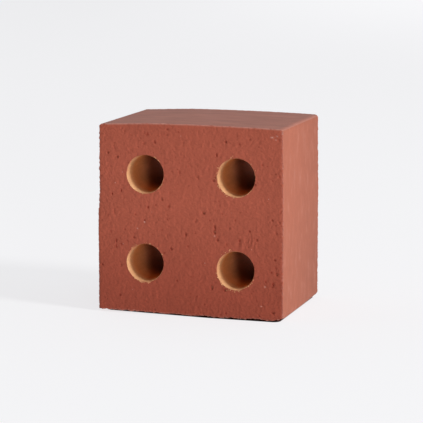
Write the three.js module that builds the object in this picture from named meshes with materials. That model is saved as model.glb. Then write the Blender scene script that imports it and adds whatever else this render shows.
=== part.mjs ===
// A perforated clay half brick, stood on one of its smooth side faces so that the cut face with the
// four perforations looks forward.
//
// The clay is pressed through a die that rounds the four long edges, past four round cores that leave
// the perforations, and the column is then cut by wires into lengths. So the section is the same all
// the way along Y, the two cut faces are flat and sharp edged, and every perforation runs right
// through. A thin buff skin lines each perforation from one cut face to the other.
//
// Millimetres. +Z is up and the front cut face looks along -Y. The origin is the middle of the face
// that the brick stands on.

import * as THREE from "three";

// Driving dimensions of the clay body.
const WIDTH = 102.5; // across the cut face, along X
const HEIGHT = 102.5; // as it stands, along Z
const CUT_LENGTH = 73; // between the two cut faces, along Y
const EDGE_RADIUS = 2; // the long edges, rounded by the die

// The perforations: two columns and two rows about the middle of the cut face.
const CORE_RADIUS = 10.5; // the bare hole in the clay
const COLUMN_PITCH = 50; // along X
const ROW_PITCH = 48.5; // along Z

// The buff skin on the wall of each perforation.
const SKIN_THICKNESS = 0.5;
const SKIN_GAP = 0.02; // between the skin and the clay behind it

// How finely the round shapes are faceted.
const EDGE_SEGMENTS = 5; // curve divisions at each long edge
const BORE_SEGMENTS = 64; // sides of a perforation

// Each perforation, with how far its core stood to the right of the even pattern and above it when
// the clay was pressed.
const PERFORATIONS = [
  { name: "upper_left", column: -1, row: 1, drift: 0.5, rise: -0.3 },
  { name: "upper_right", column: 1, row: 1, drift: 0.7, rise: -0.1 },
  { name: "lower_left", column: -1, row: -1, drift: 0.3, rise: 0.7 },
  { name: "lower_right", column: 1, row: -1, drift: 0.4, rise: -0.8 },
];

const redClay = new THREE.MeshStandardMaterial({ color: 0xa2523f, roughness: 0.85, metalness: 0 });
const buffSkin = new THREE.MeshStandardMaterial({ color: 0xcf9a66, roughness: 0.75, metalness: 0 });

// Where the axis of a perforation crosses the section, measured from the middle of the base.
function boreCentre({ column, row, drift, rise }) {
  const x = (column * COLUMN_PITCH) / 2 + drift;
  const z = HEIGHT / 2 + (row * ROW_PITCH) / 2 + rise;
  return new THREE.Vector2(x, z);
}

function circlePoints(centre, radius) {
  const circle = new THREE.EllipseCurve(centre.x, centre.y, radius, radius, 0, 2 * Math.PI);
  return circle.getPoints(BORE_SEGMENTS).slice(0, -1);
}

// The outline of the column: a rectangle standing on Z = 0, with the die's rounded corners.
function columnOutline() {
  const side = WIDTH / 2 - EDGE_RADIUS;
  const bottom = EDGE_RADIUS;
  const top = HEIGHT - EDGE_RADIUS;
  const quarter = Math.PI / 2;
  const outline = new THREE.Shape();
  outline.absarc(side, bottom, EDGE_RADIUS, -quarter, 0, false);
  outline.absarc(side, top, EDGE_RADIUS, 0, quarter, false);
  outline.absarc(-side, top, EDGE_RADIUS, quarter, 2 * quarter, false);
  outline.absarc(-side, bottom, EDGE_RADIUS, 2 * quarter, 3 * quarter, false);
  outline.closePath();
  return outline;
}

// A section drawn in X and Z, pushed through the die along Y from one cut face to the other.
function pressedThroughDie(section) {
  const solid = new THREE.ExtrudeGeometry(section, {
    depth: CUT_LENGTH,
    bevelEnabled: false,
    curveSegments: EDGE_SEGMENTS,
  });
  solid.rotateX(Math.PI / 2);
  solid.translate(0, CUT_LENGTH / 2, 0);
  return solid;
}

function clayBody() {
  const section = columnOutline();
  for (const perforation of PERFORATIONS) {
    section.holes.push(new THREE.Path(circlePoints(boreCentre(perforation), CORE_RADIUS)));
  }
  const body = new THREE.Mesh(pressedThroughDie(section), redClay);
  body.name = "clay_body";
  return body;
}

function boreLining(perforation) {
  const centre = boreCentre(perforation);
  const outerRadius = CORE_RADIUS - SKIN_GAP;
  const innerRadius = outerRadius - SKIN_THICKNESS;
  const section = new THREE.Shape(circlePoints(centre, outerRadius));
  section.holes.push(new THREE.Path(circlePoints(centre, innerRadius)));
  const lining = new THREE.Mesh(pressedThroughDie(section), buffSkin);
  lining.name = `bore_lining_${perforation.name}`;
  return lining;
}

const brick = new THREE.Group();
brick.name = "perforated_half_brick";
brick.add(clayBody());
for (const perforation of PERFORATIONS) {
  brick.add(boreLining(perforation));
}

export default brick;
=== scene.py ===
"""The finished looks of a perforated clay half brick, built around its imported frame.

A column of clay is pressed through a die, past four round cores, and cut into lengths by wires. The
faces that the die presses come out smooth and a little bowed. The faces that the wires cut come out
dragged, pitted and ragged at their edges. A thin buff skin is left on the wall of each perforation.
"""

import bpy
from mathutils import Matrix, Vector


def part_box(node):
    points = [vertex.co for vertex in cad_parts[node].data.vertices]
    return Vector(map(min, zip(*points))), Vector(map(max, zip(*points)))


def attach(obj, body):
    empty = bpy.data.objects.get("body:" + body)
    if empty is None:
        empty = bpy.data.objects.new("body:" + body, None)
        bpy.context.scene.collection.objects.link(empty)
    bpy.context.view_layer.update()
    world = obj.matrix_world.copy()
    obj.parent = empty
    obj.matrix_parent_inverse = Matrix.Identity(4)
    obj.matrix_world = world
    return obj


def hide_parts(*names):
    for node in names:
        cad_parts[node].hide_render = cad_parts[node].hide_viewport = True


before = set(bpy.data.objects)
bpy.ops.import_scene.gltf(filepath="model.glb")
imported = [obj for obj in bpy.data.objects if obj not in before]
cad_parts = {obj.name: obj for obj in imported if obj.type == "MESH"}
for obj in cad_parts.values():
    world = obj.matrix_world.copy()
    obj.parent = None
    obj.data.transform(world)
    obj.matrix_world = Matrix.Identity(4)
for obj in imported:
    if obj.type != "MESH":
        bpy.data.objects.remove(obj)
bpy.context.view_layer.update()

import math

import bmesh
import bpy
import numpy as np
from mathutils import Vector, noise

bl_info = {
    "name": "Perforated Half Brick",
    "version": (1, 0, 0),
    "blender": (4, 5, 0),
    "location": "View3D > Sidebar > Brick",
    "description": "Models the fired clay, the lined perforations and the studio of a half brick",
    "category": "Object",
}

MM = 0.001
BODY = "root"

CLAY_NODE = "clay_body"
SKIN_PREFIX = "bore_lining_"
SKIN_NODES = sorted(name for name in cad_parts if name.startswith(SKIN_PREFIX))

# The block stands on Z = 0 and is cut square to Y.
LOW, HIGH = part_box(CLAY_NODE)
MIDDLE = (LOW + HIGH) / 2
FRONT = LOW.y
BACK = HIGH.y

# Shares of the block's half width: the band in from a pressed face that lies outside every
# perforation, and how far in from the left edge the top droops.
OUTER_BAND = 0.28
DROOP_REACH = 0.7

# Places from the middle, in half widths to the right or up: where the top's crown is highest, and
# between which heights the left and the right side narrow on their way up.
CROWN_PLACE = -0.1
LEFT_WAIST = (-0.02, 0.25)
RIGHT_WAIST = (0.1, 0.9)

# How far the pressed faces lie inside the frame's box at their fullest.
TOP_INSET = 0.05 * MM
SIDE_INSET = 0.12 * MM

# The edge of the right foot is worn rounder than the die left it, by this factor.
WORN_FOOT = 1.6

# Depth of a tear and of a pit, and height of a crumb, for their width. Pits and crumbs vary a lot.
TEAR_STEEPNESS = 0.8
PIT_STEEPNESS = 0.38
CRUMB_STEEPNESS = 0.26

# No small pits or crumbs lie in this strip under the top edge.
CLEAN_STRIP = 2.5 * MM

# The bottom edges curl up off the ground: at the front, still more to its left end, and at the back.
FRONT_LIFT = 0.6 * MM
LEFT_LIFT = 0.75 * MM
BACK_LIFT = 0.55 * MM


class BrickShape(bpy.types.PropertyGroup):
    """Sizes of the clay and of its skins that the frame doesn't fix."""

    edge_radius: bpy.props.FloatProperty(
        name="Edge radius",
        description="Rounding that the die gives the long edges, but for the square lower left one",
        default=2.0 * MM,
        unit="LENGTH",
    )
    face_recess: bpy.props.FloatProperty(
        name="Face recess",
        description="How far the faces lie inside the burrs and crumbs that stand proud of them",
        default=0.3 * MM,
        unit="LENGTH",
    )
    top_crown: bpy.props.FloatProperty(
        name="Top crown",
        description="How far the top face falls away from its middle to its sides",
        default=0.75 * MM,
        unit="LENGTH",
    )
    left_droop: bpy.props.FloatProperty(
        name="Left droop",
        description="How far the top face droops at its left edge, below its crown",
        default=0.7 * MM,
        unit="LENGTH",
    )
    left_slump: bpy.props.FloatProperty(
        name="Left slump",
        description="How far the lower half of the left side sagged out past its upper half",
        default=0.85 * MM,
        unit="LENGTH",
    )
    right_slump: bpy.props.FloatProperty(
        name="Right slump",
        description="How far the lower part of the right side sagged out past its top",
        default=0.5 * MM,
        unit="LENGTH",
    )
    grain_height: bpy.props.FloatProperty(
        name="Grain height",
        description="Height of the sandy grain on the cut faces",
        default=0.26 * MM,
        unit="LENGTH",
    )
    lump_height: bpy.props.FloatProperty(
        name="Lump height",
        description="Height of the small lumps of clay on the cut faces",
        default=0.19 * MM,
        unit="LENGTH",
    )
    drag_height: bpy.props.FloatProperty(
        name="Drag height",
        description="Height of the upright drag marks that the cutting wire leaves",
        default=0.10 * MM,
        unit="LENGTH",
    )
    wave_height: bpy.props.FloatProperty(
        name="Wave height",
        description="Height of the slow waves over a cut face",
        default=0.16 * MM,
        unit="LENGTH",
    )
    small_pits: bpy.props.IntProperty(
        name="Small pits",
        description="How many small pits each cut face has",
        default=420,
        min=0,
    )
    small_crumbs: bpy.props.IntProperty(
        name="Small crumbs",
        description="How many small crumbs stand proud of each cut face",
        default=260,
        min=0,
    )
    ragged_edge: bpy.props.FloatProperty(
        name="Ragged edge",
        description="How far the edges of a cut face wander in and out",
        default=0.55 * MM,
        unit="LENGTH",
    )
    skin_thickness: bpy.props.FloatProperty(
        name="Skin thickness",
        description="Thickness of the buff skin in a perforation",
        default=0.5 * MM,
        unit="LENGTH",
    )
    seed: bpy.props.IntProperty(
        name="Seed",
        description="Starts every scatter of pits and crumbs",
        default=7,
    )


class BrickColours(bpy.types.PropertyGroup):
    """Colours of the fired clay and of the skins."""

    clay: bpy.props.FloatVectorProperty(
        name="Clay",
        description="The red of the cut faces",
        subtype="COLOR",
        default=(0.378, 0.086, 0.049),
    )
    # Painted shade: the cut faces darken towards the foot of the brick.
    clay_low_shade: bpy.props.FloatVectorProperty(
        name="Lower clay",
        description="The red of the cut faces near the foot of the brick",
        subtype="COLOR",
        default=(0.297, 0.0583, 0.0315),
    )
    clay_pressed: bpy.props.FloatVectorProperty(
        name="Pressed clay",
        description="The red of the smooth pressed faces",
        subtype="COLOR",
        default=(0.346, 0.099, 0.054),
    )
    # The top's colours are partly its own duller face and partly a painted sheen.
    clay_top_and_sheen: bpy.props.FloatVectorProperty(
        name="Top clay",
        description="The top face, paler and duller than the sides",
        subtype="COLOR",
        default=(0.400, 0.146, 0.102),
    )
    clay_top_grey_and_sheen: bpy.props.FloatVectorProperty(
        name="Greyer top clay",
        description="The top face where it is greyer",
        subtype="COLOR",
        default=(0.430, 0.172, 0.126),
    )
    # Painted shade: this dark stands in for the shadow inside pits and tears.
    clay_pit_shade: bpy.props.FloatVectorProperty(
        name="Dark clay",
        description="The inside of pits and tears",
        subtype="COLOR",
        default=(0.206, 0.0125, 0.004),
    )
    # Also paints the highlights along the edges.
    clay_pale: bpy.props.FloatVectorProperty(
        name="Pale clay",
        description="Rubbed edges, specks and scuffs",
        subtype="COLOR",
        default=(0.560, 0.280, 0.225),
    )
    skin_mouth: bpy.props.FloatVectorProperty(
        name="Skin at the mouth",
        description="The pale buff of the skin where it is rubbed at the mouth of a perforation",
        subtype="COLOR",
        default=(0.750, 0.415, 0.205),
    )
    skin: bpy.props.FloatVectorProperty(
        name="Skin",
        description="The skin a little way in",
        subtype="COLOR",
        default=(0.650, 0.243, 0.084),
    )
    # Painted shade: this darker colour stands in for the shade far inside a perforation.
    skin_deep_shade: bpy.props.FloatVectorProperty(
        name="Deep skin",
        description="The skin far inside, where it is redder",
        subtype="COLOR",
        default=(0.520, 0.200, 0.130),
    )


# Places on the front cut face are given in millimetres from the middle of its bottom edge, to the
# right and up.

# Tears that the wire left by plucking out grit: place, then width and height.
TEARS = (
    ((-46, 86), (1.1, 1.2)),
    ((-40, 84), (1.2, 1.0)),
    ((-19, 92.5), (0.8, 1.5)),
    ((-12, 99.5), (1.1, 0.7)),
    ((-43.5, 64), (0.9, 1.3)),
    ((-38, 66), (0.8, 1.4)),
    ((-23, 57.5), (0.9, 1.5)),
    ((-15, 62), (1.0, 1.1)),
    ((-25, 50.5), (0.8, 0.9)),
    ((-31, 41), (1.1, 1.1)),
    ((-41, 39), (0.8, 2.0)),
    ((-41, 36), (0.7, 2.2)),
    ((-38, 37), (0.7, 1.3)),
    ((-2, 44), (0.9, 1.9)),
    ((-10, 36), (0.8, 1.8)),
    ((-49, 25.5), (0.8, 1.0)),
    ((-39, 9.5), (1.0, 1.1)),
    ((-7, 19), (0.8, 1.0)),
    ((20, 94), (1.1, 1.3)),
    ((15, 87), (0.8, 1.9)),
    ((14.4, 75), (0.9, 0.9)),
    ((13.3, 73.4), (1.1, 1.0)),
    ((8, 56), (1.5, 1.5)),
    ((36, 72), (0.9, 0.9)),
    ((14, 48.6), (0.9, 1.9)),
    ((14, 46.2), (1.4, 2.1)),
    ((15.6, 42), (1.1, 1.7)),
    ((27.5, 42.3), (0.8, 1.6)),
    ((33, 47.5), (1.0, 1.2)),
    ((37, 43), (1.1, 1.1)),
    ((45.5, 54), (0.9, 0.9)),
    ((47, 33), (1.0, 0.9)),
    ((48, 25.5), (1.2, 1.7)),
    ((45, 26.3), (0.8, 0.9)),
    ((46, 20), (1.1, 1.8)),
    ((12.4, 16.6), (1.4, 2.4)),
    ((19.5, 15.5), (1.5, 1.3)),
    ((20, 3), (0.8, 1.5)),
    ((46, 5), (1.3, 1.4)),
)

# Pale scuffs and specks: place, then width and height.
SCUFFS = (
    ((45.4, 97.8), (1.8, 0.8)),
    ((48.2, 98.6), (1.1, 0.8)),
    ((47.5, 96.6), (0.7, 0.6)),
    ((-25, 49.5), (0.8, 0.8)),
    ((-29, 46), (0.7, 0.7)),
    ((14, 44), (0.7, 0.9)),
    ((41.5, 18.5), (0.8, 0.8)),
    ((39.5, 8), (0.9, 0.5)),
)

# Patches of rougher drag: place, reach, strength and the lean of its marks to the right, in degrees.
DRAGS = (
    ((31.5, 40.5), (8, 7), 6.5, 10),
    ((0, 88), (14, 13), 1.0, 10),
    ((-38, 38), (10, 8), 1.2, 0),
    ((44, 46), (7, 14), 0.7, 20),
    ((-46, 80), (6, 20), 0.7, 0),
    ((30, 93), (24, 12), 1.7, 40),
    ((42, 74), (10, 18), 1.6, 35),
    ((40, 20), (12, 12), 0.7, -30),
    ((0, 3), (60, 4), 1.8, 0),
)

# Bites out of the bottom edge of the front face, from its middle: place, half length and height.
BOTTOM_BITES = (
    (-25, 9, 0.15),
    (-8, 5, 0.2),
    (8, 6, 0.3),
    (24, 6, 0.2),
    (36, 7, 0.5),
    (50, 5, 0.7),
)


# Selecting and shaping


def select_only(piece):
    """Leaves one piece selected and active, in object mode."""
    bpy.ops.object.select_all(action="DESELECT")
    piece.select_set(True)
    bpy.context.view_layer.objects.active = piece


def select_faces(piece, wanted):
    """Selects the faces for which wanted(face) is true, in edit mode."""
    bpy.ops.mesh.select_mode(type="FACE")
    bpy.ops.mesh.select_all(action="DESELECT")
    mesh = bmesh.from_edit_mesh(piece.data)
    for face in mesh.faces:
        face.select_set(wanted(face))
    bmesh.update_edit_mesh(piece.data)


def select_edges(piece, wanted):
    """Selects the edges for which wanted(edge) is true, in edit mode."""
    bpy.ops.mesh.select_mode(type="EDGE")
    bpy.ops.mesh.select_all(action="DESELECT")
    mesh = bmesh.from_edit_mesh(piece.data)
    for edge in mesh.edges:
        edge.select_set(wanted(edge))
    bmesh.update_edit_mesh(piece.data)


def apply_modifiers(piece):
    """Applies all of the piece's modifiers in turn."""
    select_only(piece)
    for modifier in list(piece.modifiers):
        bpy.ops.object.modifier_apply(modifier=modifier.name)


def points_of(piece):
    """The places of the piece's points, one row each."""
    found = np.empty(len(piece.data.vertices) * 3)
    piece.data.vertices.foreach_get("co", found)
    return found.reshape(-1, 3)


def move_points(piece, points):
    """Puts the piece's points at these places."""
    piece.data.vertices.foreach_set("co", points.ravel())
    piece.data.update()


def store(piece, name, values):
    """Keeps one number per point, for the piece's finish to read."""
    attribute = piece.data.attributes.new(name, "FLOAT", "POINT")
    attribute.data.foreach_set("value", values.astype(np.float32))


def noise_at(places, sizes, lane):
    """Smooth noise from -1 to 1 at (n, 2) places, in lumps of those sizes, another on each lane."""
    across, along = sizes
    found = (noise.noise(Vector((a / across, b / along, lane))) for a, b in places)
    return np.fromiter(found, float, len(places))


def bump(distance):
    """1 at distance 0, falling smoothly to 0 at 1 and beyond."""
    near = np.clip(1 - distance, 0, 1)
    return near * near * (3 - 2 * near)


def rise(value, low, high):
    """0 up to low, rising smoothly to 1 at high and beyond."""
    return bump((high - value) / (high - low))


def group_points(piece, name, chosen):
    """Gives the chosen points a group of that name."""
    group = piece.vertex_groups.new(name=name)
    group.add([int(i) for i in np.flatnonzero(chosen)], 1.0, "REPLACE")


def displace(piece, name, group, lump, height):
    """Raises and lowers a group of points along Y by cloudy noise in lumps of that size."""
    texture = bpy.data.textures.new(name, "CLOUDS")
    texture.noise_scale = 1.0
    texture.noise_depth = 2
    bpy.ops.object.select_all(action="DESELECT")
    bpy.ops.object.empty_add(location=(0, 0, 0))
    ruler = bpy.context.object
    ruler.scale = (lump, lump, lump)
    bpy.context.view_layer.update()
    modifier = piece.modifiers.new(name, "DISPLACE")
    modifier.texture = texture
    modifier.texture_coords = "OBJECT"
    modifier.texture_coords_object = ruler
    modifier.direction = "Y"
    modifier.vertex_group = group
    modifier.mid_level = 0.5
    modifier.strength = 2 * height
    select_only(piece)
    bpy.ops.object.modifier_apply(modifier=name)
    bpy.data.objects.remove(ruler)
    bpy.data.textures.remove(texture)


def finish_piece(piece, material, node):
    """Gives the piece its finish, stands it for its CAD node and lets it ride on the body."""
    piece.data.materials.clear()
    piece.data.materials.append(material)
    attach(piece, BODY)
    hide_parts(node)


# Shader maths


class Value:
    """The output of a node, so that a pattern is written as a sum."""

    def __init__(self, made, socket):
        self.made = made
        self.socket = socket

    def _math(self, operation, first, second):
        return self.made.node("ShaderNodeMath", {"operation": operation}, [first, second])

    def __add__(self, other):
        return self._math("ADD", self, other)

    def __radd__(self, other):
        return self._math("ADD", other, self)

    def __sub__(self, other):
        return self._math("SUBTRACT", self, other)

    def __rsub__(self, other):
        return self._math("SUBTRACT", other, self)

    def __mul__(self, other):
        return self._math("MULTIPLY", self, other)

    def __rmul__(self, other):
        return self._math("MULTIPLY", other, self)

    def __pow__(self, other):
        return self._math("POWER", self, other)

    def __abs__(self):
        return self.made.node("ShaderNodeMath", {"operation": "ABSOLUTE"}, [self])

    def swing(self, width):
        """A pattern from 0 to 1 as one that swings about 0, that wide in all."""
        return (self - 0.5) * width


class Nodes:
    """A tree of shader nodes in the making."""

    def __init__(self, tree):
        self.tree = tree

    def node(self, kind, settings, inputs, output=0):
        """Adds a node, sets it up and joins or fills its sockets, which are named or in order."""
        added = self.tree.nodes.new(kind)
        for name, setting in settings.items():
            setattr(added, name, setting)
        pairs = inputs.items() if isinstance(inputs, dict) else enumerate(inputs)
        for key, given in pairs:
            if isinstance(given, Value):
                self.tree.links.new(given.socket, added.inputs[key])
            else:
                added.inputs[key].default_value = given
        return Value(self, added.outputs[output])

    def part(self, vector, name):
        """The X, Y or Z of a vector."""
        return self.node("ShaderNodeSeparateXYZ", {}, [vector], name)

    def ramp(self, value, span, results):
        """Goes evenly from the first result to the second as the value goes through the span."""
        sockets = {
            "Value": value,
            "From Min": span[0],
            "From Max": span[1],
            "To Min": results[0],
            "To Max": results[1],
        }
        return self.node("ShaderNodeMapRange", {}, sockets)


class Finish(Nodes):
    """The nodes of a material, which end in one shader."""

    # The Mix node has a set of sockets for each type, and these are the ones for colours.
    FIRST_COLOUR = 6
    SECOND_COLOUR = 7
    MIXED_COLOUR = 2

    def __init__(self, name):
        self.material = bpy.data.materials.new(name)
        self.material.use_nodes = True
        super().__init__(self.material.node_tree)
        self.shader = self.tree.nodes["Principled BSDF"]
        self.place = self.node("ShaderNodeTexCoord", {}, [], "Object")

    def axis(self, name):
        """The place along X, Y or Z, in metres."""
        return self.part(self.place, name)

    def attribute(self, name):
        """The number that was stored on the piece's points."""
        return self.node("ShaderNodeAttribute", {"attribute_name": name}, [], "Fac")

    def stretched(self, x, y, z):
        """The place measured in lumps of these sizes, in millimetres."""
        lumps_per_metre = (1 / (x * MM), 1 / (y * MM), 1 / (z * MM))
        settings = {"operation": "MULTIPLY"}
        return self.node("ShaderNodeVectorMath", settings, [self.place, lumps_per_metre])

    def cloud(self, x, y, z, detail=2.0, roughness=0.5):
        """Noise from 0 to 1 with lumps of these sizes, in millimetres."""
        sockets = {
            "Vector": self.stretched(x, y, z),
            "Scale": 1.0,
            "Detail": detail,
            "Roughness": roughness,
        }
        return self.node("ShaderNodeTexNoise", {}, sockets)

    def outline_gap(self, x, z):
        """How far the place is from the nearest pressed face."""
        side = (HIGH.x - LOW.x) / 2 - abs(x - MIDDLE.x)
        end = (HIGH.z - LOW.z) / 2 - abs(z - MIDDLE.z)
        return self.node("ShaderNodeMath", {"operation": "MINIMUM"}, [side, end])

    def past(self, value):
        """The value, or 0 where it is below 0."""
        return self.node("ShaderNodeMath", {"operation": "MAXIMUM"}, [value, 0.0])

    def specks(self, apart, radius):
        """1 inside small dots about that many millimetres apart, their radius a share of that."""
        sockets = {"Vector": self.stretched(apart, apart, apart), "Scale": 1.0}
        distance = self.node("ShaderNodeTexVoronoi", {"feature": "F1"}, sockets, "Distance")
        return self.step(distance, radius, radius * 0.6)

    def step(self, value, start, end):
        """Rises from 0 at start to 1 at end, smoothly."""
        sockets = {"Value": value, "From Min": start, "From Max": end}
        return self.node("ShaderNodeMapRange", {"interpolation_type": "SMOOTHSTEP"}, sockets)

    def mix(self, share, first, second):
        """Goes from the first colour to the second as share goes from 0 to 1."""
        sockets = {
            "Factor": share,
            self.FIRST_COLOUR: first if isinstance(first, Value) else (*first, 1),
            self.SECOND_COLOUR: second if isinstance(second, Value) else (*second, 1),
        }
        settings = {"data_type": "RGBA", "clamp_factor": True}
        return self.node("ShaderNodeMix", settings, sockets, self.MIXED_COLOUR)

    def scaled(self, colour, amount):
        """The colour made lighter or darker."""
        sockets = {0: colour, "Scale": amount}
        return self.node("ShaderNodeVectorMath", {"operation": "SCALE"}, sockets)

    def relief(self, height, tallest):
        """The normal of a fine relief, whose height from 0 to 1 stands for that many millimetres."""
        sockets = {"Strength": 1.0, "Distance": tallest * MM, "Height": height}
        return self.node("ShaderNodeBump", {}, sockets)

    def join(self, name, value):
        """Lets a value drive that socket of the shader."""
        self.tree.links.new(value.socket, self.shader.inputs[name])


def clay_finish(colours):
    """Matte red clay: sandy and spotted on the cut faces, smooth and scuffed on the pressed ones."""
    made = Finish("fired_red_clay")
    made.shader.inputs["Specular IOR Level"].default_value = 0.25
    # Painted shade in pits and tears, and pale rubbed edges that are partly a painted highlight.
    pit_shade = made.attribute("pit_shade")
    rubbed = made.attribute("rubbed")
    x = made.axis("X")
    y = made.axis("Y")
    z = made.axis("Z")

    cut = made.step(abs(y), BACK - 1.2 * MM, BACK - 0.7 * MM)
    top = made.step(z, HIGH.z - 2.2 * MM, HIGH.z - 1.2 * MM) * (1 - cut)
    # Painted shade grows towards the foot of the brick.
    low_shade = made.step(z, 62 * MM, 4 * MM)

    # The cut faces: slow changes of the firing, then mottle, then grain, with upright streaks, and
    # painted shade towards their edges and their foot.
    slow = made.cloud(30, 30, 30)
    mottle = made.cloud(5, 5, 7, detail=3.0)
    grain = made.cloud(0.7, 0.7, 0.9, detail=3.0, roughness=0.65)
    streaks = made.cloud(1, 20, 14)
    # Painted shade: the cut faces are a little darker near their edges than in the middle.
    lit_middle = made.step(made.outline_gap(x, z), 0.0, 16 * MM)
    shade = 0.98 + slow.swing(0.16) + mottle.swing(0.16) + grain.swing(0.34)
    shade = shade + streaks.swing(0.12) + lit_middle * 0.05
    # Painted shade: the cut faces darken towards the foot.
    cut_colour = made.mix(low_shade, colours.clay, colours.clay_low_shade)
    cut_colour = made.scaled(cut_colour, shade)
    speckled = made.step(made.cloud(20, 20, 20), 0.5, 0.62)
    cut_colour = made.mix(made.specks(5.2, 0.07) * speckled * 0.6, cut_colour, colours.clay_pale)
    # Painted shade in the pits and tears.
    cut_colour = made.mix(pit_shade * 0.85, cut_colour, colours.clay_pit_shade)

    # The sides: a haze, upright scuffs with a pale bloom, and fine rubs, with painted shade that
    # darkens them towards the back and the foot.
    haze = made.cloud(18, 18, 30)
    scuffs = made.cloud(4.5, 4, 10, detail=3.0)
    rubs = made.cloud(1.8, 1.8, 3, detail=3.0, roughness=0.6)
    # Painted shade: the sides darken towards the back and the foot.
    back_shade = made.step(y, FRONT, BACK)
    shade = 1.13 - back_shade * 0.17 - low_shade * 0.10
    shade = shade + haze.swing(0.16) + scuffs.swing(0.16) + rubs.swing(0.26)
    pressed = made.scaled(colours.clay_pressed, shade)
    pressed = made.mix(made.step(scuffs, 0.50, 0.85) * 0.22, pressed, colours.clay_pale)

    # The top: greyer clouds and streaks from side to side, its colours paler and greyer partly for a
    # painted sheen, and a painted highlight where it turns into the sides.
    top_streaks = made.cloud(18, 7, 30, detail=4.0, roughness=0.6)
    top_colour_and_sheen = made.mix(haze, colours.clay_top_and_sheen, colours.clay_top_grey_and_sheen)
    top_colour_and_sheen = made.scaled(top_colour_and_sheen, 1.0 + top_streaks.swing(0.64))
    pressed = made.mix(top, pressed, top_colour_and_sheen)
    # A painted highlight along the long top edges.
    pressed = made.mix(top * (1 - top) * (scuffs + 0.3), pressed, colours.clay_pale)

    colour = made.mix(cut, pressed, cut_colour)
    # Pale rubs and scuffs, and a painted highlight along the edges of the cut faces.
    made.join("Base Color", made.mix(rubbed, colour, colours.clay_pale))
    made.join("Roughness", 0.68 + cut * 0.12 + grain.swing(0.15))

    cut_height = grain * 0.6 + made.cloud(0.35, 0.35, 0.35, detail=1.0) * 0.4
    pressed_height = made.cloud(0.9, 1.5, 1.5, detail=3.0) * 0.2 + top_streaks * 0.15
    height = cut_height * cut + pressed_height * (1 - cut)
    made.join("Normal", made.relief(height, 0.18))
    return made.material


def skin_finish(colours):
    """Buff skin: pale and rubbed at the mouths, brown a little way in, and beyond that darkened by
    painted shade, most on the lower wall.
    """
    made = Finish("buff_bore_skin")
    made.shader.inputs["Specular IOR Level"].default_value = 0.0
    stained = made.attribute("stained")
    y = made.axis("Y")
    front_depth = y - FRONT
    back_depth = BACK - y
    blotch = made.cloud(3, 6, 3, detail=3.0)
    grain = made.cloud(0.6, 0.9, 0.6, detail=3.0, roughness=0.6)
    draw_lines = made.cloud(0.9, 30, 0.9)
    inside = made.step(front_depth + blotch.swing(2 * MM), 1 * MM, 12 * MM)
    # Painted shade: the skin darkens far inside, where little light reaches.
    deep = made.step(front_depth + blotch.swing(10 * MM), 12 * MM, 60 * MM)
    back_inside = made.step(back_depth, 0.8 * MM, 4 * MM)
    colour = made.mix(inside, colours.skin_mouth, colours.skin)
    colour = made.mix(deep, colour, colours.skin_deep_shade)
    colour = made.mix(1 - back_inside, colour, colours.skin_mouth)
    # Painted shade on the lower wall, deep inside.
    underside_shade = made.attribute("underside") * made.step(front_depth, 10 * MM, 35 * MM)
    shade = 1.0 + blotch.swing(0.26) + grain.swing(0.30) + draw_lines.swing(0.14)
    colour = made.scaled(colour, shade * (1 - underside_shade * 0.75))
    made.join("Base Color", made.mix(stained, colour, colours.clay))
    made.join("Roughness", 0.78 + grain.swing(0.2))
    made.join("Normal", made.relief(grain * 0.5 + draw_lines * 0.5, 0.07))
    return made.material


# The clay


def round_long_edges(points, radius):
    """Draws the square corners of the column in to the die's radius, but for the lower left one."""
    for axis, low, high in ((0, LOW.x, HIGH.x), (2, LOW.z, HIGH.z)):
        assert high - low > 2 * radius, f"the edge radius is too large for axis {axis}"
    middle = np.array((MIDDLE.x, MIDDLE.z))
    half = np.array((HIGH.x - LOW.x, HIGH.z - LOW.z)) / 2
    offset = points[:, (0, 2)] - middle
    worn_foot = (offset[:, 0] > 0) & (offset[:, 1] < 0)
    radius = np.where(worn_foot, WORN_FOOT, 1.0)[:, None] * radius
    past = np.abs(offset) - (half - radius)
    lower_left = (offset <= 0).all(axis=1)
    corner = (past > 0).all(axis=1) & ~lower_left
    # Squares about the centre of the rounding become circles.
    length = np.linalg.norm(past[corner], axis=1)
    drawn = past[corner] * (past[corner].max(axis=1) / length)[:, None]
    offset[corner] = np.sign(offset[corner]) * (half - radius[corner] + drawn)
    points[:, (0, 2)] = offset + middle


def bow_pressed_faces(points, shape):
    """Crowns the top and slumps the two sides outwards at their foot, all within the frame's box."""
    half = (HIGH.x - LOW.x) / 2
    across = (points[:, 0] - MIDDLE.x) / half
    up = (points[:, 2] - MIDDLE.z) / half
    top, right, left = (bump((1 - side) / OUTER_BAND) for side in (up, across, -across))
    droop = shape.left_droop * bump((1 + across) / DROOP_REACH)
    points[:, 2] -= top * (shape.top_crown * (across - CROWN_PLACE) ** 2 + droop + TOP_INSET)
    points[:, 0] -= right * (SIDE_INSET + shape.right_slump * rise(up, *RIGHT_WAIST))
    points[:, 0] += left * (SIDE_INSET + shape.left_slump * rise(up, *LEFT_WAIST))


def outline_distance(points):
    """How far each point is from the nearest pressed face, and which way that face looks."""
    gaps = np.stack(
        (
            points[:, 0] - LOW.x,
            HIGH.x - points[:, 0],
            points[:, 2] - LOW.z,
            HIGH.z - points[:, 2],
        ),
        axis=1,
    )
    outward = np.array(((-1, 0), (1, 0), (0, -1), (0, 1)), float)
    return gaps.min(axis=1), outward[gaps.argmin(axis=1)]


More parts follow.
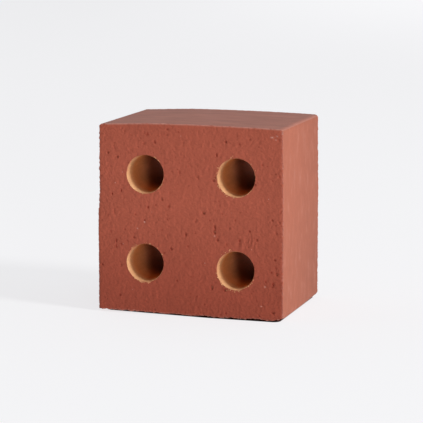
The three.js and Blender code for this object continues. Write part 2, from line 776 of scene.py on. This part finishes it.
def dent_field(places, dents):
    """Depth of all the dents at these places, in metres, and the painted shade at each place, 0 to
    1.

    A dent is its middle, its width and height, its depth and its share of the painted shade. It
    fades out a little beyond its size, round an outline that wobbles differently for each dent.
    """
    depth = np.zeros(len(places))
    pit_shade = np.zeros(len(places))
    fade = 1.6
    wobble = (0.6 * MM, 0.6 * MM)
    for middle, size, deep, shade in dents:
        reach = (places - middle) / (np.array(size) / 2)
        near = np.flatnonzero((np.abs(reach) < fade + 0.1).all(axis=1))
        edge = 0.28 * noise_at(places[near], wobble, middle[0] * 900)
        dent = bump(np.hypot(*reach[near].T) / fade + edge)
        depth[near] += dent * deep
        pit_shade[near] = np.maximum(pit_shade[near], dent * shade)
    return depth, pit_shade


def scattered_dents(shape, lane):
    """Small pits and proud crumbs, crowded in some places, some drawn out along the wire's way."""
    rng = np.random.default_rng(shape.seed + lane)
    dents = []
    while len(dents) < shape.small_pits + shape.small_crumbs:
        place = np.array((rng.uniform(LOW.x, HIGH.x), rng.uniform(LOW.z, HIGH.z)))
        crowd = noise.noise(Vector((*(place / (18 * MM)), lane + 3.5)))
        if rng.uniform(-0.5, 0.6) > crowd or place[1] > HIGH.z - CLEAN_STRIP:
            continue
        width = (0.55 + 0.75 * rng.random() ** 3) * MM
        size = (width, width * rng.choice((0.8, 1.0, 1.2, 1.7)))
        deep = width * rng.uniform(0.6, 1.2)
        if len(dents) < shape.small_pits:
            # Each pit gets a random share of the painted shade; crumbs get none.
            dents.append((place, size, deep * PIT_STEEPNESS, 0.7 * rng.random() ** 2))
        else:
            dents.append((place, size, -deep * CRUMB_STEEPNESS, 0))
    return dents


def placed(marks, steepness):
    """The listed marks of the front face as dents, that deep for their width."""
    corner = np.array((MIDDLE.x, LOW.z))
    dents = []
    for place, (width, height) in marks:
        size = (width * MM, height * MM)
        dents.append((corner + np.array(place) * MM, size, steepness * width * MM, 1.0))
    return dents


def drag_marks(places, lane):
    """Furrows from the cutting wire: upright and faint all over, strong and leaning in patches."""
    corner = np.array((MIDDLE.x, LOW.z))
    marks = 0.45 * noise_at(places, (0.8 * MM, 7 * MM), lane)
    for place, reach, strength, lean in DRAGS:
        away = (places - corner - np.array(place) * MM) / (np.array(reach) * MM)
        share = bump(np.hypot(*away.T))
        near = np.flatnonzero(share > 0)
        tilt = math.radians(lean)
        turn = np.array(((math.cos(tilt), math.sin(tilt)), (-math.sin(tilt), math.cos(tilt))))
        furrows = noise_at(places[near] @ turn, (0.85 * MM, 4 * MM), lane + lean)
        marks[near] += strength * share[near] * furrows
    return marks


def relieve_cut_face(points, chosen, inward, shape, lane, tears=(), scuffs=()):
    """Sets a cut face back from the frame's plane and works pits, drags and ragged edges into it.

    Gives back, from 0 to 1, the painted shade at each of its points and how pale it is made by rubs,
    scuffs and a painted highlight on the edge.
    """
    places = points[chosen][:, (0, 2)]
    gap, outward = outline_distance(points[chosen])
    faces_up = outward[:, 1] > 0
    faces_left = outward[:, 0] < 0

    depth, pit_shade = dent_field(places, [*tears, *scattered_dents(shape, lane)])
    depth += drag_marks(places, lane + 0.3) * shape.drag_height

    # The outer edge crumbles back and wanders in and out, least along the top and most at the left.
    along = places @ np.array((1.0, 1.3))
    runs = np.stack((along, gap * 0.4), axis=1)
    wander = noise_at(runs, (2.4 * MM, 1), lane + 1.1)
    wander += 0.8 * noise_at(runs, (0.9 * MM, 1), lane + 1.4)
    wear = np.where(faces_up, 0.2, np.where(faces_left, 1.6, 1.0))
    crumble = wear * np.clip(wander + 0.25, 0, 1) * bump(gap / (1.3 * MM))
    sway = wear * (wander * shape.ragged_edge - 0.05 * MM) * bump(gap / (2.4 * MM))
    points[chosen, 0] += outward[:, 0] * sway
    points[chosen, 2] += outward[:, 1] * sway
    points[chosen, 1] += inward * (shape.face_recess + depth + crumble * 0.7 * MM)

    # The very edge is pale in places, along the top more than elsewhere: partly rubbed wear, partly
    # a painted highlight where the rounded edge catches the light.
    above = points[chosen, 2] > HIGH.z - 3 * MM
    worn_arris_highlight = bump(gap / (0.9 * MM)) * np.clip(0.45 + wander + 0.5 * above, 0, 1)
    rubbed = np.maximum(np.where(above, 0.75, 0.55) * worn_arris_highlight, dent_field(places, scuffs)[1])
    return np.clip(pit_shade * 1.2, 0, 1), rubbed


def curl_bottom_edges(points):
    """Lifts the bottom edges off the ground: bitten and ragged at the front, even at the back."""
    places = points[:, (0, 2)]
    lift = FRONT_LIFT + LEFT_LIFT * bump((places[:, 0] - LOW.x) / (60 * MM))
    for middle, half_length, height in BOTTOM_BITES:
        away = np.abs(places[:, 0] - MIDDLE.x - middle * MM) / (half_length * MM)
        lift += bump(away) * height * MM
    lift *= 1 + 0.4 * noise_at(places, (1.6 * MM, 1), 8.2)
    curl = lift * bump((points[:, 1] - FRONT) / (11 * MM))
    curl += BACK_LIFT * bump((BACK - points[:, 1]) / (30 * MM))
    points[:, 2] += curl * bump((places[:, 1] - LOW.z) / (3.5 * MM))


class BRICK_OT_clay(bpy.types.Operator):
    """Models the clay with its rounded edges, bowed faces, perforations and torn cut faces"""

    bl_idname = "brick.clay"
    bl_label = "Clay"

    SIDE_CUTS = 63
    BACK_CUTS = 1
    FRONT_CUTS = 3
    CORE_SIDES = 144
    SMOOTH_BELOW = math.radians(50)

    # The random patterns of the two cut faces.
    FRONT_LANE = 0
    BACK_LANE = 50

    def block(self):
        """A block of the frame's size, finely divided, the front most of all."""
        bpy.ops.object.select_all(action="DESELECT")
        bpy.ops.mesh.primitive_cube_add(size=1, location=MIDDLE, scale=HIGH - LOW)
        piece = bpy.context.object
        piece.name = "fired_clay"
        bpy.ops.object.transform_apply(location=True, rotation=True, scale=True)
        bpy.ops.object.mode_set(mode="EDIT")
        bpy.ops.mesh.subdivide(number_cuts=self.SIDE_CUTS)
        select_faces(piece, lambda face: face.normal.y > 0.9)
        bpy.ops.mesh.subdivide(number_cuts=self.BACK_CUTS)
        select_faces(piece, lambda face: face.normal.y < -0.9)
        bpy.ops.mesh.subdivide(number_cuts=self.FRONT_CUTS)
        bpy.ops.object.mode_set(mode="OBJECT")
        return piece

    def core(self, node):
        """A rod the size of one core, longer than the block."""
        low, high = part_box(node)
        middle = (low + high) / 2
        bpy.ops.mesh.primitive_cylinder_add(
            vertices=self.CORE_SIDES,
            radius=(high.x - low.x) / 2,
            depth=2 * (BACK - FRONT),
            location=middle,
            rotation=(math.pi / 2, 0, 0),
        )
        return bpy.context.object

    def perforate(self, piece):
        """Takes the four cores out of the block."""
        cores = [self.core(node) for node in SKIN_NODES]
        select_only(cores[0])
        for core in cores:
            core.select_set(True)
        bpy.ops.object.join()
        rods = bpy.context.object
        modifier = piece.modifiers.new("cores", "BOOLEAN")
        modifier.operation = "DIFFERENCE"
        modifier.solver = "EXACT"
        modifier.object = rods
        apply_modifiers(piece)
        bpy.data.objects.remove(rods)

    def execute(self, context):
        shape = context.scene.brick_shape
        piece = self.block()
        self.perforate(piece)

        points = points_of(piece)
        front = points[:, 1] < FRONT + 0.01 * MM
        back = points[:, 1] > BACK - 0.01 * MM
        round_long_edges(points, shape.edge_radius)
        pit_shade = np.zeros(len(points))
        rubbed = np.zeros(len(points))
        tears = placed(TEARS, TEAR_STEEPNESS)
        scuffs = placed(SCUFFS, 0)
        pit_shade[front], rubbed[front] = relieve_cut_face(
            points, front, 1, shape, self.FRONT_LANE, tears, scuffs
        )
        pit_shade[back], rubbed[back] = relieve_cut_face(points, back, -1, shape, self.BACK_LANE)
        curl_bottom_edges(points)
        bow_pressed_faces(points, shape)
        move_points(piece, points)
        # Painted shade in pits and tears, and pale rubbed edges that are partly a painted highlight.
        store(piece, "pit_shade", pit_shade)
        store(piece, "rubbed", rubbed)

        group_points(piece, "cut_faces", front | back)
        displace(piece, "slow_waves", "cut_faces", 18 * MM, shape.wave_height)
        displace(piece, "small_lumps", "cut_faces", 2.0 * MM, shape.lump_height)
        displace(piece, "sandy_grain", "cut_faces", 0.9 * MM, shape.grain_height)
        move_points(piece, np.clip(points_of(piece), LOW, HIGH))

        select_only(piece)
        bpy.ops.object.shade_smooth_by_angle(angle=self.SMOOTH_BELOW)
        finish_piece(piece, clay_finish(context.scene.brick_colours), CLAY_NODE)
        return {"FINISHED"}


# The skins


class BRICK_OT_skins(bpy.types.Operator):
    """Models the buff skin on the wall of each perforation, ragged and crumbling at its mouths"""

    bl_idname = "brick.skins"
    bl_label = "Bore skins"

    SIDES = 200
    LENGTH_CUTS = 47
    MOUTH_CUTS = 3
    SMOOTH_BELOW = math.radians(60)

    # Where the front rim of each skin crumbled: the middle of each stretch and its half width, in
    # degrees round from the right, and how thickly the crumbs lie.
    CRUMBLED = {
        "upper_left": ((45, 30, 0.4), (-25, 15, 0.6), (-100, 40, 0.3)),
        "upper_right": ((185, 45, 1.6), (95, 14, 1.2), (35, 14, 0.9), (250, 50, 0.6)),
        "lower_left": ((125, 22, 1.2), (80, 35, 0.6), (262, 30, 1.2)),
        "lower_right": ((115, 20, 1.3), (272, 35, 1.4), (325, 20, 0.7), (200, 50, 0.5)),
    }

    def tube(self, node, shape):
        """A tube of skin, divided along its length and finer still at its mouths, and its middle."""
        low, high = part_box(node)
        middle = (low + high) / 2
        bpy.ops.object.select_all(action="DESELECT")
        bpy.ops.mesh.primitive_cylinder_add(
            vertices=self.SIDES,
            radius=(high.x - low.x) / 2,
            depth=high.y - low.y,
            end_fill_type="NOTHING",
            location=middle,
            rotation=(math.pi / 2, 0, 0),
        )
        piece = bpy.context.object
        piece.name = "buff_skin_" + node.removeprefix(SKIN_PREFIX)
        bpy.ops.object.transform_apply(location=True, rotation=True, scale=True)
        bpy.ops.object.mode_set(mode="EDIT")

        def runs_along(edge):
            first, second = (vertex.co for vertex in edge.verts)
            return abs(first.y - second.y) > 0.1 * MM

        def ends_at_mouth(edge):
            reach = max(abs(vertex.co.y) for vertex in edge.verts)
            return runs_along(edge) and reach > BACK - 0.1 * MM

        select_edges(piece, runs_along)
        bpy.ops.mesh.subdivide(number_cuts=self.LENGTH_CUTS)
        select_edges(piece, ends_at_mouth)
        bpy.ops.mesh.subdivide(number_cuts=self.MOUTH_CUTS)
        bpy.ops.mesh.select_all(action="SELECT")
        bpy.ops.mesh.normals_make_consistent(inside=False)
        bpy.ops.object.mode_set(mode="OBJECT")
        wall = piece.modifiers.new("wall", "SOLIDIFY")
        wall.thickness = shape.skin_thickness
        wall.offset = -1
        apply_modifiers(piece)
        return piece, middle

    def wear(self, piece, middle, lane):
        """Waves the wall a little and wears its mouths thin, ragged and open."""
        points = points_of(piece)
        across = points[:, 0] - middle.x
        up = points[:, 2] - middle.z
        radius = np.hypot(across, up)
        outer = radius.max()
        angle = np.arctan2(up, across)
        mouth = np.minimum(points[:, 1] - FRONT, BACK - points[:, 1])
        inward = np.where(points[:, 1] < MIDDLE.y, 1, -1)
        round_trip = np.stack((np.cos(angle), np.sin(angle)), axis=1)
        coarse = noise_at(round_trip, (0.45, 0.45), lane)
        fine = noise_at(round_trip, (0.075, 0.075), lane + 1)
        ripple = noise_at(np.stack((angle, points[:, 1]), axis=1), (0.35, 14 * MM), lane + 2)

        # The mouths are set back by different amounts, and there the inner wall opens out to meet
        # the outer one.
        torn = np.clip(0.35 + 0.8 * coarse + 0.9 * fine, 0, 1)
        points[:, 1] += inward * bump(mouth / (2.5 * MM)) * (0.22 + 0.45 * torn) * MM
        worn = bump(mouth / (1.3 * MM)) * (0.75 + 0.25 * torn)
        radius += ripple * 0.06 * MM * (1 - worn)
        radius += (outer - 0.04 * MM - radius) * worn * (radius < outer - 0.1 * MM)
        radius = np.minimum(radius, outer)
        points[:, 0] = middle.x + np.cos(angle) * radius
        points[:, 2] = middle.z + np.sin(angle) * radius
        move_points(piece, points)

        # Red clay is smeared over the mouths, mostly at the upper right.
        smeared = np.clip(0.66 + 0.50 * np.cos(angle - math.radians(55)) + 0.5 * coarse, 0, 1)
        # How much each point lies on the lower wall, for the painted shade deep inside.
        store(piece, "underside", np.clip(-np.sin(angle), 0, 1))
        store(piece, "stained", 0.95 * smeared * bump(mouth / (2.2 * MM)) ** 0.5)

    def crumbs(self, piece, middle, name, shape, lane):
        """Crumbs of skin that cling to the clay round the front rim."""
        rng = np.random.default_rng(shape.seed + 100 + lane)
        bpy.ops.object.select_all(action="DESELECT")
        made = []
        offset = points_of(piece)[:, (0, 2)] - (middle.x, middle.z)
        rim = np.hypot(*offset.T).max() + 0.1 * MM
        for middle_angle, half_width, thickness in self.CRUMBLED[name]:
            for _ in range(int(half_width * thickness * 0.5)):
                angle = math.radians(rng.normal(middle_angle, half_width * 0.6))
                away = rim + abs(rng.normal(0, 0.35)) * MM * min(thickness, 1.3)
                size = (0.10 + 0.20 * rng.random() ** 2) * MM
                place = (
                    middle.x + math.cos(angle) * away,
                    FRONT + shape.face_recess - size * 0.1,
                    middle.z + math.sin(angle) * away,
                )
                bpy.ops.mesh.primitive_ico_sphere_add(subdivisions=2, radius=size, location=place)
                crumb = bpy.context.object
                for vertex in crumb.data.vertices:
                    wobble = noise.noise(vertex.co / size * 0.9 + Vector((0, 0, angle * 7)))
                    vertex.co *= 1 + 0.55 * wobble
                    vertex.co.y *= 0.7
                store(crumb, "underside", np.zeros(len(crumb.data.vertices)))
                store(crumb, "stained", np.full(len(crumb.data.vertices), rng.uniform(0, 0.6)))
                made.append(crumb)
        select_only(piece)
        for crumb in made:
            crumb.select_set(True)
        bpy.ops.object.join()

    def execute(self, context):
        shape = context.scene.brick_shape
        material = skin_finish(context.scene.brick_colours)
        for lane, node in enumerate(SKIN_NODES):
            piece, middle = self.tube(node, shape)
            self.wear(piece, middle, 20.0 + lane * 3)
            self.crumbs(piece, middle, node.removeprefix(SKIN_PREFIX), shape, lane)
            points = points_of(piece)
            points[:, 1] = np.clip(points[:, 1], FRONT + 0.01 * MM, BACK - 0.01 * MM)
            move_points(piece, points)
            select_only(piece)
            bpy.ops.object.shade_smooth_by_angle(angle=self.SMOOTH_BELOW)
            finish_piece(piece, material, node)
        return {"FINISHED"}


# The studio


class BRICK_OT_studio(bpy.types.Operator):
    """Lays the pale floor, hangs the lamps and sets up the camera"""

    bl_idname = "brick.studio"
    bl_label = "Studio"

    # The camera stands to the right of the front face and looks at a point beside the middle.
    LENS = 175.5
    VIEW_AZIMUTH = math.radians(17.476)
    VIEW_ELEVATION = math.radians(9.167)
    VIEW_DISTANCE = 1.1181
    AIM = Vector((0.0008, 0.0, -0.00035))

    # Each lamp: azimuth and elevation in degrees, width in metres and power in watts.
    LAMP_DISTANCE = 4.0
    KEY = (76, 30, 0.8, 92)
    FILL = (31.5, 3, 0.85, 55)

    # Colours and glow of the floor.
    FLOOR = (0.26, 0.26, 0.26)
    FLOOR_LIGHT = (0.98, 0.98, 1.0)
    FLOOR_GLOW = 0.74

    # The floor glows more far behind the brick on the right: from where to where, and how much.
    BRIGHT_RIGHT = (-0.3, 0.45)
    BRIGHT_BEHIND = (1.1, 2.9)
    BRIGHTER_BY = 0.12

    # The painted contact shadow under the brick ends inside its sides and has rounded corners. To
    # the left of STRAIGHT_TO it draws in from the front and the back, by this share of the distance
    # from there.
    CONTACT_SHADOW = (0.07, 0.02, 0.012)
    BLACK = (0.0, 0.0, 0.0)
    SHADOW_INSET = 2 * MM
    SHADOW_CORNER = 4 * MM
    STRAIGHT_TO = 10 * MM
    DRAWS_BACK = 0.078

    # The light of the room: paper behind the brick, dimmer in front of it and overhead.
    PAPER = (0.98, 0.985, 1.0, 1)
    FRONT_LIGHT = 0.10
    BACK_LIGHT = 0.90
    FRONT_TO_BACK = (-0.7, -0.1)
    OVERHEAD_SHARE = 0.35
    BESIDE_TO_OVERHEAD = (0.25, 0.85)

    def towards(self, azimuth, elevation):
        """The direction from the brick to something at that azimuth and elevation."""
        return Vector(
            (
                math.sin(azimuth) * math.cos(elevation),
                -math.cos(azimuth) * math.cos(elevation),
                math.sin(elevation),
            )
        )

    def camera(self, context):
        """A long lens, aimed close to the middle of the brick."""
        aim = MIDDLE + self.AIM
        away = self.towards(self.VIEW_AZIMUTH, self.VIEW_ELEVATION)
        bpy.ops.object.select_all(action="DESELECT")
        bpy.ops.object.camera_add(
            location=aim + away * self.VIEW_DISTANCE,
            rotation=(-away).to_track_quat("-Z", "Y").to_euler(),
        )
        camera = context.object
        camera.name = "studio_camera"
        camera.data.lens = self.LENS
        context.scene.camera = camera

    def lamp(self, context, name, azimuth, elevation, width, power):
        """A round lamp that shines at the brick."""
        away = self.towards(math.radians(azimuth), math.radians(elevation))
        bpy.ops.object.light_add(
            type="AREA",
            location=MIDDLE + away * self.LAMP_DISTANCE,
            rotation=(-away).to_track_quat("-Z", "Y").to_euler(),
        )
        lamp = context.object
        lamp.name = name
        lamp.data.shape = "DISK"
        lamp.data.size = width
        lamp.data.energy = power

    def ground(self, made, x, y):
        """0 in the painted contact shadow under the brick, 1 on the open floor."""
        past_side = abs(x) - (HIGH.x - MIDDLE.x - self.SHADOW_INSET)
        past_end = abs(y) - (HIGH.y - MIDDLE.y) + made.past(self.STRAIGHT_TO - x) * self.DRAWS_BACK
        past_side = made.past(past_side + self.SHADOW_CORNER)
        past_end = made.past(past_end + self.SHADOW_CORNER)
        clear = (past_side * past_side + past_end * past_end) ** 0.5 - self.SHADOW_CORNER
        return made.step(clear, -0.6 * MM, 0.3 * MM)

    def floor(self):
        """A pale floor that glows a little, with a contact shadow painted where the brick stands on
        it.
        """
        bpy.ops.object.select_all(action="DESELECT")
        bpy.ops.mesh.primitive_plane_add(size=12, location=(0, 0, 0))
        floor = bpy.context.object
        floor.name = "pale_floor"
        made = Finish("pale_floor")
        made.shader.inputs["Roughness"].default_value = 0.9
        made.shader.inputs["Specular IOR Level"].default_value = 0.0
        made.shader.inputs["Emission Strength"].default_value = self.FLOOR_GLOW
        x = made.axis("X")
        y = made.axis("Y")
        open_floor = self.ground(made, x - MIDDLE.x, y - MIDDLE.y)
        sine = math.sin(self.VIEW_AZIMUTH)
        cosine = math.cos(self.VIEW_AZIMUTH)
        right = x * cosine + y * sine
        behind = y * cosine - x * sine
        brighter = made.step(right, *self.BRIGHT_RIGHT) * made.step(behind, *self.BRIGHT_BEHIND)
        light = made.scaled(self.FLOOR_LIGHT, 1.0 + brighter * self.BRIGHTER_BY)
        # A painted contact shadow: no glow and a dark colour under the brick.
        made.join("Emission Color", made.mix(open_floor, self.BLACK, light))
        made.join("Base Color", made.mix(open_floor, self.CONTACT_SHADOW, self.FLOOR))
        floor.data.materials.append(made.material)

    def surroundings(self, context):
        """Pale paper behind and beside the brick, and a dim room in front of it and overhead."""
        world = bpy.data.worlds.new("studio")
        context.scene.world = world
        world.use_nodes = True
        made = Nodes(world.node_tree)
        direction = made.node("ShaderNodeTexCoord", {}, [], "Generated")
        lights = (self.FRONT_LIGHT, self.BACK_LIGHT)
        behind = made.ramp(made.part(direction, "Y"), self.FRONT_TO_BACK, lights)
        shares = (1.0, self.OVERHEAD_SHARE)
        overhead = made.ramp(made.part(direction, "Z"), self.BESIDE_TO_OVERHEAD, shares)
        background = made.tree.nodes["Background"]
        background.inputs["Color"].default_value = self.PAPER
        made.tree.links.new((behind * overhead).socket, background.inputs["Strength"])

    def execute(self, context):
        self.camera(context)
        self.floor()
        self.surroundings(context)
        self.lamp(context, "key", *self.KEY)
        self.lamp(context, "fill", *self.FILL)
        context.scene.view_settings.view_transform = "Standard"
        return {"FINISHED"}


class BRICK_PT_panel(bpy.types.Panel):
    """Lists the pieces of the brick and their sizes and colours"""

    bl_idname = "BRICK_PT_panel"
    bl_label = "Perforated Half Brick"
    bl_space_type = "VIEW_3D"
    bl_region_type = "UI"
    bl_category = "Brick"

    def draw(self, context):
        layout = self.layout
        for group in (context.scene.brick_shape, context.scene.brick_colours):
            box = layout.box()
            for name in group.__annotations__:
                box.prop(group, name)
        for operator in OPERATORS:
            layout.operator(operator.bl_idname)


GROUPS = (BrickShape, BrickColours)
OPERATORS = (BRICK_OT_clay, BRICK_OT_skins, BRICK_OT_studio)
CLASSES = (*GROUPS, *OPERATORS, BRICK_PT_panel)


def register():
    for cls in CLASSES:
        bpy.utils.register_class(cls)
    bpy.types.Scene.brick_shape = bpy.props.PointerProperty(type=BrickShape)
    bpy.types.Scene.brick_colours = bpy.props.PointerProperty(type=BrickColours)


def unregister():
    del bpy.types.Scene.brick_colours
    del bpy.types.Scene.brick_shape
    for cls in reversed(CLASSES):
        bpy.utils.unregister_class(cls)


def main():
    """Models the whole brick."""
    register()
    bpy.ops.brick.clay()
    bpy.ops.brick.skins()
    bpy.ops.brick.studio()


if __name__ == "__main__":
    main()
